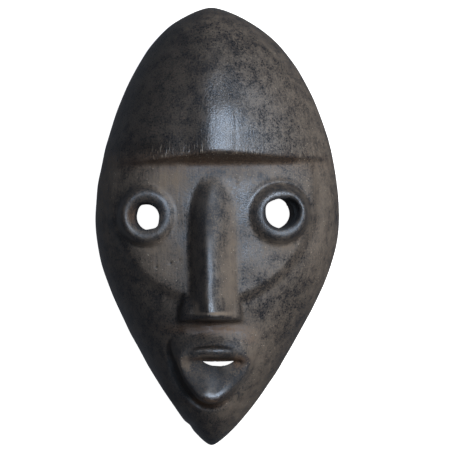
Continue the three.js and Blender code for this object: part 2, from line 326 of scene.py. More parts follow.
# The mouth, all round from its middle. By bearing in degrees: the foot of the lips, their
# crest and its rise over the face, the edge of the opening and its rise, how gently the foot
# starts, and the depth of the groove round it.
MOUTH = {"x": -0.1, "from_top": 199.9}
LIP_STATIONS = (
    (0, 22.0, 18.2, 7.0, 10.4, 1.5, 0.8, 0),
    (20, 25.6, 14.0, 6.8, 4.6, 0.8, 0.9, 0),
    (40, 26.0, 8.0, 7.6, 1.9, 0.2, 1.0, 0),
    (60, 21.5, 6.0, 8.2, 1.4, -0.4, 1.0, 0),
    (90, 18.6, 5.2, 8.6, 1.2, -0.6, 1.0, 0),
    (120, 21.0, 6.0, 8.4, 1.4, -0.4, 1.0, 0),
    (140, 24.6, 8.2, 7.8, 2.0, 0.6, 0.9, 0.3),
    (158, 26.8, 14.5, 7.2, 4.6, 2.0, 0.5, 1.6),
    (172, 24.2, 21.4, 7.4, 8.6, 3.0, 0.1, 3.0),
    (185, 21.9, 20.2, 7.8, 7.6, 2.6, 0.0, 4.0),
    (207, 21.5, 19.2, 9.4, 4.4, 0.0, 0.0, 5.0),
    (227, 21.9, 18.9, 11.6, 3.0, -2.0, 0.0, 4.8),
    (243, 23.6, 20.8, 13.0, 2.3, -2.8, 0.0, 3.8),
    (257, 24.8, 22.4, 13.8, 2.1, -3.0, 0.0, 2.4),
    (270, 23.9, 21.8, 13.6, 2.0, -3.0, 0.1, 1.4),
    (283, 21.7, 19.4, 12.2, 2.1, -2.8, 0.2, 1.0),
    (300, 19.8, 16.4, 10.2, 2.6, -1.6, 0.4, 0.7),
    (315, 18.9, 15.8, 9.2, 3.6, 0, 0.4, 0.4),
    (335, 19.6, 16.4, 7.8, 6.6, 1.0, 0.6, 0.1),
    (360, 22.0, 18.2, 7.0, 10.4, 1.5, 0.8, 0),
)
# The roll over the opening: where it runs, the crease that bounds it above, and its height.
LIP_ROLL = {"from": -16.5, "to": 12.0, "from_top": 191.5, "rise": 1.9, "thick": 6.5}
# The inside of the lips: how far a soft roll reaches in from their crest, as a share of the
# way to the opening, and how much of the drop it takes.
LIP_SOFT = {"lower": 0.24, "upper": 0.55}
LIP_SOFT_DROP = {"lower": 0.15, "upper": 0.2}
# Degrees over which the stations are smoothed, the groove's place and width, and the rounding
# of the foot where it starts steeply and where it starts gently.
LIP_BLEND = 6
LIP_GROOVE = {"off": 2.0, "width": 2.1}
LIP_FOOT_ROUND = (0.8, 1.4)
# The opening: its ends, its upper edge, and how far it bows down.
SLIT = {"from": -8.9, "to": 10.3, "from_top": 199.4, "height": 3.3}


class Front:
    """Height of the carved front over the plane of the rim, in millimetres."""

    def __init__(self, form):
        self.outline = Outline(form)
        self.top = self.outline.top
        self.face_depth = form.face_depth / MM
        self.forehead_depth = form.forehead_depth / MM
        self.keel = form.forehead_keel / MM
        self.brow = self.top - form.brow_from_top / MM
        self.cheek_step = form.cheek_step / MM
        self.nose_rise = form.nose_rise / MM
        self.nose_length = form.nose_length / MM
        self.eye_height = form.eye_height / MM

    def cheek(self, x, y):
        """1 inside the arc of the cheeks and 0 outside it."""
        arc_y = y - self.top + CHEEK_ARC["from_top"]
        from_arc = np.hypot((x - self.outline.axis) / CHEEK_ARC["reach"], arc_y / CHEEK_ARC["run"])
        half_step = CHEEK_ARC["width"] / 2 / CHEEK_ARC["run"]
        return 1 - ease(from_arc, 1 - half_step, 1 + half_step)

    def face(self, x, y, cheek=None):
        outline = self.outline
        share = outline.share(x, y)
        jaw = ease(outline.widest - y, *JAW_SPAN)
        blank = self.face_depth * outline.fall(y) * vault(share, lerp(*FACE_FULLNESS, jaw))
        cheek = self.cheek(x, y) if cheek is None else cheek
        return blank + self.cheek_step * cheek * vault(share, CHEEK_FULLNESS)

    def forehead(self, x, y):
        share = self.outline.share(x, y)
        crown = ease(y, self.brow, self.top)
        keel = self.keel * (np.hypot(share, KEEL_BLUNT) - KEEL_BLUNT)
        keel = keel + KEEL_LEFT["fall"] * (1 - ease(x, *KEEL_LEFT["over"])) * (1 - crown)
        temple = ease(np.abs(share), TEMPLE, 1) * (1 - crown)
        depth = lerp(self.forehead_depth - keel, self.face_depth, temple)
        return depth * self.outline.fall(y) * vault(share, lerp(*FOREHEAD_FULLNESS, crown))

    def brow_cut(self, x, y):
        """Where the foot of the cut over the eyes runs, and the height of its slant."""
        brow = self.brow + BROW_RISE * power(self.outline.share(x, y), 2)
        return brow, self.face(x, brow) + LEDGE_SLOPE * (y - brow)

    def blank(self, x, y):
        """Forehead and face, joined by the slanting cut over the eyes."""
        face = self.face(x, y)
        brow, slant = self.brow_cut(x, y)
        under = soft_max(slant, face, LEDGE_ROUND["foot"])
        carved = soft_min(self.forehead(x, y), under, LEDGE_ROUND["edge"])
        return lerp(carved, face, ease(brow - y, *LEDGE_FADE))

    def ledge(self, x, y):
        """1 on the slanting cut over the eyes and 0 off it."""
        brow, slant = self.brow_cut(x, y)
        return ease(y - brow, -1, 1.5) * ease(self.forehead(x, y) - slant, -0.5, 1.5)

    def nose(self, x, y, surface):
        """The wedge of the nose with its two wings, cut off flat at its base."""
        down = (self.top - NOSE_FROM_TOP - y) / self.nose_length
        left, ridge, right, share = (through(down, NOSE_STATIONS, at, 0.02) for at in (1, 2, 3, 4))
        on_left = x < ridge
        reach = np.where(on_left, ridge - left, right - ridge)
        out = np.abs(x - ridge) / reach
        flat = RIDGE_FLAT * ease(down, 0.25, 0.75)
        right_out = power(out - flat, 1) / (1 - flat) + RIDGE_FLAT_SLOPE * np.minimum(out, flat)
        out = np.where(on_left, out, right_out)
        blunt = np.where(on_left, RIDGE_LEFT, RIDGE_RIGHT)
        rounded = (np.hypot(out, blunt) - blunt) / (np.hypot(1, blunt) - blunt)
        steep = 1 - power(rounded, 1.15)
        gentle = power(1 - rounded, lerp(1.3, 0.95, ease(down, 0.45, 0.75)))
        rise = self.nose_rise * share * np.where(on_left, steep, gentle)
        rise = rise - 3 * power(out - 1, 1) * reach - 2 * power(-down, 1) * self.nose_length
        foot_round = np.where(on_left, NOSE_FOOT_ROUND["left"], NOSE_FOOT_ROUND["right"])
        foot_round = foot_round + NOSE_FOOT_ROUND["root"] * (1 - ease(down, 0, 0.12))
        base = self.face(x, y, 1 - ease(down, 0.3, 0.9))
        shaped = soft_max(surface, base + rise, foot_round)
        for wing in NOSE_WINGS:
            centre = (wing["centre"][0], self.top - wing["centre"][1])
            bump = mound(x, y, centre, wing["reach"], wing["rise"], wing["tilt"])
            shaped = soft_max(shaped, base + bump, NOSE_WING_ROUND)
        under = base + NOSE_UNDER * (y - self.top + NOSE_FROM_TOP + self.nose_length)
        under = soft_max(under, surface, NOSE_BASE_ROUND["foot"])
        return np.maximum(surface, soft_min(shaped, under, NOSE_BASE_ROUND["edge"]))

    def eye(self, x, y, surface, eye):
        """A tube round one eye, with its lip and the bowl that falls to the bore."""
        centre_y = self.top - eye["from_top"]
        dx = x - eye["x"]
        dy = (y - centre_y) / EYE_STRETCH
        radius = np.hypot(dx, dy)
        bearing = np.arctan2(dy, dx)
        middle = self.face(np.array([eye["x"]]), np.array([centre_y]))[0]
        plane = middle - math.tan(math.radians(eye["tilt"])) * dx - EYE_FALL * dy
        nose_side = 0.5 + 0.5 * np.cos(bearing - math.radians(eye["nose_side"]))
        foot = eye["foot"] + eye["spread"] * nose_side ** 2
        crest = lerp(*eye["crest"], power(np.cos(bearing - math.radians(eye["low_at"])), 1))
        out = (radius - crest) / (foot - crest)
        outer = self.eye_height * (1 - np.clip(out, 0, 1) ** EYE_FULLNESS)
        outer = outer - EYE_SKIRT * power(radius - foot, 1)
        thick = np.sqrt(0.5 - 0.5 * np.cos(bearing - math.radians(eye["thin_at"])))
        lip = lerp(*eye["lip"], thick)
        wall = crest - lip
        rounded = np.clip((crest - radius) / lip, 0, 1)
        bowl = np.clip((wall - radius) / np.maximum(wall - eye["hole"], 0.4), 0, 1)
        inner = self.eye_height - EYE_BOWL * lerp(eye["lip_drop"] * rounded ** 2, 1, bowl)
        round_the_back = power(np.cos(bearing - math.radians(eye["groove_at"])), 1)
        groove = eye["groove"] * bell(radius - foot - EYE_GROOVE["off"], EYE_GROOVE["width"])
        lowered = surface - groove * round_the_back
        ringed = soft_max(lowered, plane + outer, lerp(*EYE_FOOT_ROUND, nose_side))
        return np.where(radius < crest, plane + inner, ringed)

    def below_crease(self, x, y):
        """How far points lie below the crease over the lip's roll, and how much of it there is."""
        start, end = LIP_ROLL["from"], LIP_ROLL["to"]
        along = ease(x, start, start + 5) * (1 - ease(x, end - 5, end))
        sag = 0.012 * (x - (start + end) / 2) ** 2
        return self.top - LIP_ROLL["from_top"] - sag - y, along

    def from_mouth(self, x, y, columns):
        """Distance from the mouth's middle, height over it, and columns of the lips' stations."""
        dx = x - MOUTH["x"]
        dy = y - self.top + MOUTH["from_top"]
        bearing = np.degrees(np.arctan2(dy, dx)) % 360
        stations = (through(bearing, LIP_STATIONS, at, LIP_BLEND, wrap=True) for at in columns)
        return np.hypot(dx, dy), dy, *stations

    def lip_groove(self, x, y):
        """How deep the groove round the lips is, at each point."""
        radius, _, foot, groove = self.from_mouth(x, y, (1, 7))
        return groove * bell(radius - foot - LIP_GROOVE["off"], LIP_GROOVE["width"])

    def lips(self, x, y, surface):
        """The two lips, pursed round the opening, with a roll over it."""
        radius, dy, foot, crest, rise, edge, edge_rise, gentle = self.from_mouth(x, y, range(1, 7))
        up = np.clip((foot - radius) / (foot - crest), 0, 1)
        outer = rise * lerp(np.sin(up * math.pi / 2), ease(up, 0, 1), gentle)
        outer = outer - power(radius - foot, 1) * 2
        within = np.clip((crest - radius) / (crest - edge), 0, 1)
        upper = ease(dy, -2, 2)
        soft, soft_drop = (
            lerp(share["lower"], share["upper"], upper) for share in (LIP_SOFT, LIP_SOFT_DROP))
        drop = soft_drop * (np.minimum(within, soft) / soft) ** 1.5
        drop = drop + (1 - soft_drop) * power(within - soft, 1) / (1 - soft)
        height = np.where(radius > crest, outer, lerp(rise, edge_rise, drop))
        below_crease, along = self.below_crease(x, y)
        roll_end = ease(below_crease, LIP_ROLL["thick"] - 1, LIP_ROLL["thick"])
        roll = ease(below_crease, -1, 1.2) * (1 - roll_end)
        height = height + LIP_ROLL["rise"] * along * roll
        lowered = surface - self.lip_groove(x, y)
        face = self.face(x, y)
        shaped = soft_max(lowered, face + height, lerp(*LIP_FOOT_ROUND, gentle))
        return lerp(shaped, face + height, ease(foot - radius, 0.5, 2.5))

    def height(self, x, y):
        """The whole front, with lips, nose and eyes on its blank."""
        surface = self.blank(x, y)
        surface = self.lips(x, y, surface)
        surface = self.nose(x, y, surface)
        for eye in (LEFT_EYE, RIGHT_EYE):
            surface = self.eye(x, y, surface, eye)
        return np.maximum(surface, 0)


# Meshes

MOST_TRIANGLES = 195000
BLOCK_GRID = (280, 440)
HOLLOW_GRID = (60, 90)
# The hollow's distance from the crown and the chin, the wall behind the forehead, how full it
# is along and across, and where it rises from the face into the forehead, over the brow.
CROWN_WALL = 10
CHIN_WALL = 18
FOREHEAD_WALL = 12
HOLLOW_FULLNESS = (2.6, 2.4)
HOLLOW_BROW = (4, 34)
# A tool reaches this far past what it cuts.
PAST = 40
# Points deeper than this under the front belong to the hollow.
HOLLOW_FROM = 5
SMOOTHINGS = 2
# Width in radians of a corner that the knife left in a bore.
CORNER = 0.35


def read_points(mesh):
    points = np.empty(len(mesh.vertices) * 3)
    mesh.vertices.foreach_get("co", points)
    return points.reshape(-1, 3)


def write_points(mesh, points):
    mesh.vertices.foreach_set("co", np.ascontiguousarray(points, dtype=np.float32).ravel())
    mesh.update()


def new_object(name, bm):
    mesh = bpy.data.meshes.new(name)
    bm.to_mesh(mesh)
    bm.free()
    piece = bpy.data.objects.new(name, mesh)
    bpy.context.scene.collection.objects.link(piece)
    return piece


def dome(name, grid, outline, walls, height, floor=None):
    """A closed vault over an outline, from a grid whose ends draw in to the two tips."""
    bm = bmesh.new()
    bmesh.ops.create_grid(bm, x_segments=grid[0], y_segments=grid[1], size=1)
    piece = new_object(name, bm)
    points = read_points(piece.data)
    side_wall, crown_wall, chin_wall = walls
    share = np.sin(points[:, 0] * math.pi / 2)
    along = np.sin(points[:, 1] * math.pi / 2)
    top = outline.top - crown_wall
    low = -outline.top + chin_wall
    y = lerp(low, top, (along + 1) / 2)
    x = outline.axis + share * outline.half(y, share > 0, walls)
    write_points(piece.data, np.column_stack([x, y, height(share, x, y)]) * MM)
    bm = bmesh.new()
    bm.from_mesh(piece.data)
    bmesh.ops.remove_doubles(bm, verts=bm.verts, dist=1e-6)
    rim = [edge for edge in bm.edges if edge.is_boundary]
    if floor is not None:
        dropped = bmesh.ops.extrude_edge_only(bm, edges=rim)["geom"]
        for vert in dropped:
            if isinstance(vert, bmesh.types.BMVert):
                vert.co.z = floor * MM
        rim = [edge for edge in bm.edges if edge.is_boundary]
    bmesh.ops.edgeloop_fill(bm, edges=rim)
    bmesh.ops.recalc_face_normals(bm, faces=bm.faces)
    bm.to_mesh(piece.data)
    bm.free()
    return piece


def carved_block(form):
    front = Front(form)
    return dome("block", BLOCK_GRID, front.outline, (0, 0, 0), lambda share, x, y: front.height(x, y))


def hollow_tool(form):
    outline = Outline(form)
    top = outline.top - CROWN_WALL
    low = -outline.top + CHIN_WALL
    brow = outline.top - form.brow_from_top / MM
    face = (form.face_depth - form.face_wall) / MM
    forehead = form.forehead_depth / MM - FOREHEAD_WALL

    def height(share, x, y):
        run = np.where(y > outline.widest, top - outline.widest, outline.widest - low)
        along = np.clip(np.abs(y - outline.widest) / run, 0, 1)
        depth = lerp(face, forehead, ease(y - brow, *HOLLOW_BROW))
        full_along, full_across = HOLLOW_FULLNESS
        return (depth + 1) * vault(along, full_along) * vault(share, full_across) - 1

    walls = (form.rim_wall / MM, CROWN_WALL, CHIN_WALL)
    return dome("hollow", HOLLOW_GRID, outline, walls, height, floor=-PAST)


def eye_tool(form, eye):
    """A slanting bore, a little out of round, with a corner or two as the knife left them."""
    bm = bmesh.new()
    radius = eye["hole"] * MM
    bmesh.ops.create_cone(
        bm, cap_ends=True, segments=96, radius1=radius, radius2=radius, depth=1.5 * PAST * MM)
    for vert in bm.verts:
        bearing = math.atan2(vert.co.y, vert.co.x)
        swell = 1.0
        for corner, amount in eye["corners"]:
            off = math.remainder(bearing - math.radians(corner), 2 * math.pi)
            swell += amount * bell(off, CORNER)
        vert.co.x *= swell
        vert.co.y *= swell
    front = Front(form)
    y = front.top - eye["from_top"]
    middle = front.face(np.array([eye["x"]]), np.array([y]))[0]
    floor = middle + front.eye_height - EYE_BOWL * 0.6
    off_x, off_y = eye["hole_off"]
    place = Matrix.Translation(((eye["x"] + off_x) * MM, (y + off_y) * MM, floor * MM))
    place = place @ Matrix.Rotation(math.radians(eye["lean"]), 4, "Y")
    place = place @ Matrix.Translation((0, 0, -0.5 * PAST * MM))
    place = place @ Matrix.Diagonal((1, eye["hole_stretch"], 1, 1))
    bmesh.ops.transform(bm, matrix=place, verts=bm.verts)
    return new_object("bore", bm)


def slit_tool(form):
    """The opening between the lips: flat above, bowed below."""
    outline = Outline(form)
    half = (SLIT["to"] - SLIT["from"]) / 2
    middle = (SLIT["to"] + SLIT["from"]) / 2
    y = outline.top - SLIT["from_top"]
    bm = bmesh.new()
    bmesh.ops.create_grid(bm, x_segments=24, y_segments=1, size=1)
    for vert in bm.verts:
        drop = SLIT["height"] * (1 - abs(vert.co.x) ** 2.3) if vert.co.y < 0 else 0
        vert.co.x = (middle + vert.co.x * half) * MM
        vert.co.y = (y - drop) * MM
    bmesh.ops.remove_doubles(bm, verts=bm.verts, dist=1e-6)
    faces = bmesh.ops.extrude_face_region(bm, geom=bm.faces[:])["geom"]
    for part in faces:
        if isinstance(part, bmesh.types.BMVert):
            part.co.z = form.forehead_depth + PAST * MM
    bmesh.ops.recalc_face_normals(bm, faces=bm.faces)
    return new_object("slit", bm)


def apply_modifiers(piece):
    baked = bpy.data.meshes.new_from_object(piece.evaluated_get(bpy.context.evaluated_depsgraph_get()))
    baked.materials.clear()
    piece.modifiers.clear()
    piece.data = baked


def cut(piece, tools):
    for tool in tools:
        modifier = piece.modifiers.new("cut", "BOOLEAN")
        modifier.operation = "DIFFERENCE"
        modifier.solver = "MANIFOLD"
        modifier.object = tool
    apply_modifiers(piece)
    for tool in tools:
        bpy.data.objects.remove(tool)


def settle_mesh(piece, form):
    """Evens out the mesh, then thins it in the hollow, where the forms are large."""
    modifier = piece.modifiers.new("even", "REMESH")
    modifier.mode = "VOXEL"
    modifier.voxel_size = form.voxel
    apply_modifiers(piece)
    bm = bmesh.new()
    bm.from_mesh(piece.data)
    for _ in range(SMOOTHINGS):
        bmesh.ops.smooth_vert(
            bm, verts=bm.verts, factor=0.5, use_axis_x=True, use_axis_y=True, use_axis_z=True)
    bm.to_mesh(piece.data)
    bm.free()
    points = read_points(piece.data) / MM
    below = Front(form).height(points[:, 0], points[:, 1]) - points[:, 2]
    group = piece.vertex_groups.new(name="hollow")
    group.add(np.flatnonzero(below > HOLLOW_FROM).tolist(), 1, "REPLACE")
    thin = piece.modifiers.new("thin", "DECIMATE")
    thin.vertex_group = "hollow"
    thin.ratio = min(1, MOST_TRIANGLES / (2 * len(piece.data.polygons)))
    apply_modifiers(piece)
    piece.vertex_groups.clear()
    piece.data.shade_smooth()


# Finish of the surface

# The tables of patches give place, reach across and up, and amount.
# Dust on the front, below 0 where the wood is rubbed clean, with one patch of painted light.
DUST_AND_LIGHT_PATCHES = (
    (-30, 28, 26, 10, 0.75), (26, 28, 34, 9, 0.34), (-25, 12, 9, 18, 0.5), (-33, -17, 19, 17, 0.68),
    (26, -13, 22, 20, 0.25), (8.5, -8, 4.5, 44, 0.5), (3, -32, 7, 17, 0.5), (-2, -57, 19, 5, 0.7),
    (42, -40, 24, 38, 0.2), (25, -78, 15, 26, 0.32), (11, -101, 13, 15, 0.55), (60, 4, 11, 62, 0.45),
    (50, 56, 12, 32, 0.2), (-18.5, -76, 4, 4.5, 1.0), (-14, -44.5, 4, 5, 0.3),
    (-10.8, -44.5, 1.8, 4, 1.2), (19, -66, 9, 10, 0.45), (32, 82, 24, 34, 0.28),
    (37, -9.5, 12, 4, 0.4), (-40, -11.5, 12, 4, 0.45), (-59, 24, 8, 22, 0.4), (10, -45, 8, 9, 0.08),
    (0, 116, 26, 12, 0.3), (-63, 0, 8, 34, 0.25), (45, -30, 9, 9, -0.1), (-3.5, -42, 5, 12, -0.5),
    (-4.5, -26, 2.5, 18, -0.4), (-3, -47.6, 8, 1.1, 2.0), (6, -81, 6, 6, -0.3), (-4, 6, 4, 12, 0.25),
    (-6, -81, 13, 5, -0.05), (-9, -89, 8, 6, -0.5), (-28, -31, 13, 11, 0.35),
    (-10.5, -10, 5, 46, -0.6), (-2, -53.5, 14, 3, -0.4), (-3, -63.5, 19, 4, -0.4),
    # The patch at (-5, -71) is painted light: it lightens the underside of the upper lip's roll, which
    # faces down into shade.
    (0, -93, 13, 5, -0.5), (-3, -67.5, 14, 3, -0.5), (-5, -71, 9, 1.8, 1.2), (8, -88, 4, 4, 0.3),
    (-52, -50, 26, 60, -0.4), (-45, 80, 40, 60, -0.25), (6, 50, 9, 32, -0.3),
    (-39, 7, 13, 13, -0.3), (37, 8, 13, 13, -0.35),
)
# Earth packed into creases.
EARTH_PATCHES = (
    (-3, -56.5, 19, 3, 0.85), (12, -75, 4, 3, 0.9), (-6, -98, 10, 3, 0.6), (-3, -73, 17, 1.3, 0.6),
    (-3, 36, 58, 5, 0.45), (-46, 6, 4, 5, 0.5), (18, -62, 5, 3, 0.4),
)
# Painted shade and dirt that cloud the surface where it turns from the light, under the brow and on the
# lower lip, below 0 where the darkening of a crease is taken off.
GRIME_AND_SHADE_PATCHES = (
    (-18.5, -76, 4, 4, -1.2), (-5, -80, 10, 5, 0.25), (-12, -87, 6, 6, 0.4), (-37, 44, 18, 4, 0.6),
    (-9, 42.5, 8, 3, 0.4), (45, 45, 10, 7, 0.3), (5, -84, 6, 6, 0.2), (-10, -90, 5, 3, 0.4),
)
# Places that hands don't reach, where the patina stays dull, below 0 where it shines.
DULL_PATCHES = (
    (-6, -79, 15, 8, 1.0), (-17, -83, 7, 12, 1.3), (12, -83, 8, 12, 0.9), (-4, 4, 6, 16, 0.85),
    (-41, 6, 14, 15, 0.45), (36, 1, 14, 9, 0.3), (14, 30, 40, 7, 0.6), (-1, -94, 6, 3, -0.8),
    (-10, -90, 6, 4, 1.2), (-22, -88, 7, 12, 0.8),
)
# Small pits of worms and chips, and the chip at the chin.
PITS = (
    (-33.2, -22.3, 0.8, 0.8, 0.7), (-25.5, -20.1, 0.8, 0.8, 0.8), (-20.5, -18.5, 0.7, 0.7, 0.5),
    (10.4, 26.8, 0.7, 0.7, 0.6), (11, 24.5, 0.7, 0.7, 0.6), (12.4, -75.2, 0.9, 0.9, 1.4),
    (-8, 93, 0.8, 0.8, 0.4), (-60.5, -4, 0.8, 0.8, 0.4),
)
CHIN_CHIP = ((-15.2, -112.8, 2.6, 2.6, 0.8),)
# Fine cracks, and lines of black dirt and painted shadow beside the left wing of the nose and
# under its base: from one end to the other, their width, and their depth or amount.
CRACKS = ((10.2, 64, 10.5, 42, 0.7, 0.1), (42.4, 90.8, 52.3, 71.4, 0.7, 0.3))
DIRT_AND_SHADOW_LINES = (
    (-18.2, -37.5, -20.3, -43, 1.3, 1.0), (-20.2, -43, -20.6, -52, 2.0, 1.2),
    (-4, -49.2, -17.5, -49.5, 0.9, 0.3),
)
# Marks of the knife in front and of the adze behind: their depth, and the width and length of
# one stroke.
KNIFE = (0.12, 11, 17)
ADZE = (0.7, 10, 17)
# Unevenness of the front: its height and its length.
UNEVEN = (0.2, 26)
# Over how many neighbours a fine and a broad form are smoothed to find what lies sunk.
FINE = 6
BROAD = 70


class Surface:
    """The points of a finished mesh in millimetres, with what lies round each of them."""

    def __init__(self, mesh):
        self.mesh = mesh
        self.points = read_points(mesh) / MM
        edges = np.empty(len(mesh.edges) * 2, dtype=np.int64)
        mesh.edges.foreach_get("vertices", edges)
        self.ends = edges.reshape(-1, 2)
        count = len(self.points)
        self.degree = np.bincount(edges, minlength=count)

    def normals(self):
        normals = np.empty(len(self.points) * 3)
        self.mesh.vertices.foreach_get("normal", normals)
        return normals.reshape(-1, 3)

    def mean(self, values):
        """Mean of the values at each point's neighbours."""
        first, second = self.ends[:, 0], self.ends[:, 1]
        count = len(values)
        total = np.bincount(first, values[second], count) + np.bincount(second, values[first], count)
        return total / self.degree

    def smoothed(self, values, steps):
        for _ in range(steps):
            values = lerp(values, self.mean(values), 0.8)
        return values

    def sunk(self, steps):
        """How far each point lies below its smoothed surroundings: above 0 in a hollow."""
        flat = np.column_stack([self.smoothed(self.points[:, axis], steps) for axis in range(3)])
        return ((flat - self.points) * self.normals()).sum(axis=1)

    def push(self, distance):
        self.points = self.points + self.normals() * distance[:, None]
        write_points(self.mesh, self.points * MM)

    def keep(self, name, values):
        layer = self.mesh.attributes.new(name, "FLOAT", "POINT")
        layer.data.foreach_set("value", np.ascontiguousarray(values, dtype=np.float32))


def scallops(x, y, width, length, seed):
    """Overlapping hollows that an adze leaves: 1 in the middle of each and 0 on the ridges."""
    column = np.floor(x / width).astype(int)
    row = np.floor(y / length).astype(int)
    nearest = np.full(len(x), 9.0)
    for column_off in (-1, 0, 1):
        for row_off in (-1, 0, 1):
            cell = (column + column_off) * 127.1 + (row + row_off) * 311.7 + seed
            jitter_x = np.sin(cell) * 43758.5 % 1
            jitter_y = np.sin(cell + 74.7) * 24634.6 % 1
            dx = x / width - (column + column_off) - jitter_x
            dy = y / length - (row + row_off) - jitter_y
            nearest = np.minimum(nearest, np.hypot(dx, dy))
    return 1 - np.clip(nearest, 0, 1) ** 2


def waves(x, y, length, seed):
    """Gentle unevenness of hand work, between about -1 and 1."""
    rng = np.random.default_rng(seed)
    total = np.zeros(len(x))
    for _ in range(7):
        turn = rng.uniform(0, math.pi)
        pitch = length * rng.uniform(0.7, 1.6)
        phase = rng.uniform(0, 2 * math.pi)
        total += np.sin(2 * math.pi * (x * math.cos(turn) + y * math.sin(turn)) / pitch + phase)
    return total / 3


def patches(x, y, table):
    """Soft round patches, from a table of places, reaches and amounts."""
    total = np.zeros(len(x))
    for place_x, place_y, reach_x, reach_y, amount in table:
        total += amount * bell(np.hypot((x - place_x) / reach_x, (y - place_y) / reach_y), 1)
    return total


def lines(x, y, table):
    """Straight lines, from a table of their ends, widths and amounts."""
    total = np.zeros(len(x))
    for start_x, start_y, end_x, end_y, width, amount in table:
        run_x, run_y = end_x - start_x, end_y - start_y
        share = ((x - start_x) * run_x + (y - start_y) * run_y) / (run_x ** 2 + run_y ** 2)
        share = np.clip(share, 0, 1)
        total += amount * bell(np.hypot(x - start_x - share * run_x, y - start_y - share * run_y), width)
    return total


def soot_and_shade(x, y, top):
    """Black painted shade in the bores of the eyes and on the side of their bowls that lies in shade."""
    total = np.zeros(len(x))
    for eye in (LEFT_EYE, RIGHT_EYE):
        dx, dy = x - eye["x"], y - top + eye["from_top"]
        from_bore = np.hypot(dx - eye["hole_off"][0], dy - eye["hole_off"][1]) - eye["hole"]
        shaded = 0.5 + 0.5 * np.cos(np.arctan2(dy, dx) - math.radians(eye["shade_at"]))
        bowl = 1 - ease(np.hypot(dx, dy) - eye["crest"][0] + eye["lip"][0], -0.6, 0.4)
        total += 1 - ease(from_bore, 0, 1) + eye["shade"] * bowl * ease(shaded, 0.4, 0.8)
    return total


def finish_surface(piece, form):
    """Leaves the marks of the tools and of use, and keeps what the material needs to know, painted shade
    and painted light among it.
    """
    surface = Surface(piece.data)
    front = Front(form)
    x, y, z = surface.points.T
    below = front.height(x, y) - z
    inside = ease(below, 2, 6)
    outside = 1 - inside
    knife = UNEVEN[0] * waves(x, y, UNEVEN[1], 5) + KNIFE[0] * scallops(x, y, *KNIFE[1:], 8)
    adze = ADZE[0] * scallops(x, y, *ADZE[1:], 3)
    dents = (patches(x, y, PITS) + lines(x, y, CRACKS)) * outside
    strokes = (knife * outside - adze * inside) * ease(z, 1, 6)
    surface.push(strokes - dents - patches(x, y, CHIN_CHIP))

    fine = surface.sunk(FINE)
    broad = surface.sunk(BROAD)
    # Painted shade: the bores and the shaded side of the eyes' bowls are darkened and dulled.
    eye_shade = soot_and_shade(x, y, front.top) * (below < 13)
    below_crease, along = front.below_crease(x, y)
    # The crease mask is dirt together with painted shade: it darkens the crease over the lip's roll, the
    # groove round the lips, the cut under the forehead, sunk hollows, pits, cracks and the eyes' bores.
    crease_dirt_and_shade = lines(x, y, DIRT_AND_SHADOW_LINES) + 0.9 * along * bell(below_crease + 0.3, 0.8)
    crease_dirt_and_shade += 1.6 * ease(front.lip_groove(x, y), 0.6, 2.4) + 0.5 * front.ledge(x, y)
    crease_dirt_and_shade += patches(x, y, GRIME_AND_SHADE_PATCHES)
    crease_dirt_and_shade = crease_dirt_and_shade * outside + ease(fine, 0.08, 0.5) + ease(broad, 1.2, 4.0) + dents + eye_shade
    rubbed = ease(-fine, 0.02, 0.25) + ease(-broad, 0.8, 3) * 0.6
    over_brow = bell(y - front.brow - 6, 5) * ease(x, -50, -20) * (1 - 0.5 * ease(x, 0, 30))
    surface.keep("crease_dirt_and_shade", np.clip(crease_dirt_and_shade, 0, 1))
    surface.keep("rubbed", np.clip(rubbed, 0, 1))
    surface.keep("dust_and_painted_light", patches(x, y, DUST_AND_LIGHT_PATCHES) * outside)
    surface.keep("earth", patches(x, y, EARTH_PATCHES) * outside)
    surface.keep("dull", np.clip(patches(x, y, DULL_PATCHES) + eye_shade, 0, 1))
    surface.keep("scratched", over_brow * outside)
    surface.keep("inside", inside)


# Material

def add_node(tree, kind, settings, inputs, output=0):
    """Adds a node with its settings, fills or links its inputs, and gives one of its outputs."""
    node = tree.nodes.new("ShaderNode" + kind)
    for name, value in settings.items():
        setattr(node, name, value)
    for socket, value in inputs.items():
        if isinstance(value, bpy.types.NodeSocket):
            tree.links.new(value, node.inputs[socket])
        else:
            node.inputs[socket].default_value = value
    return node.outputs[output]


# Settings of the Math and Mix nodes, and a Mix node's sockets for two colours and the result
COLOURS = {"data_type": "RGBA", "blend_type": "MIX"}
SHARE, FIRST, SECOND, MIXED = 0, 6, 7, 2
TIMES = {"operation": "MULTIPLY"}
PLUS = {"operation": "ADD"}
LESS = {"operation": "SUBTRACT"}
LARGER = {"operation": "MAXIMUM"}
HELD = {"use_clamp": True}
OPEN = {"clamp": False}
# The part of a noise's range that it fills
NOISE = {"From Min": 0.3, "From Max": 0.7}


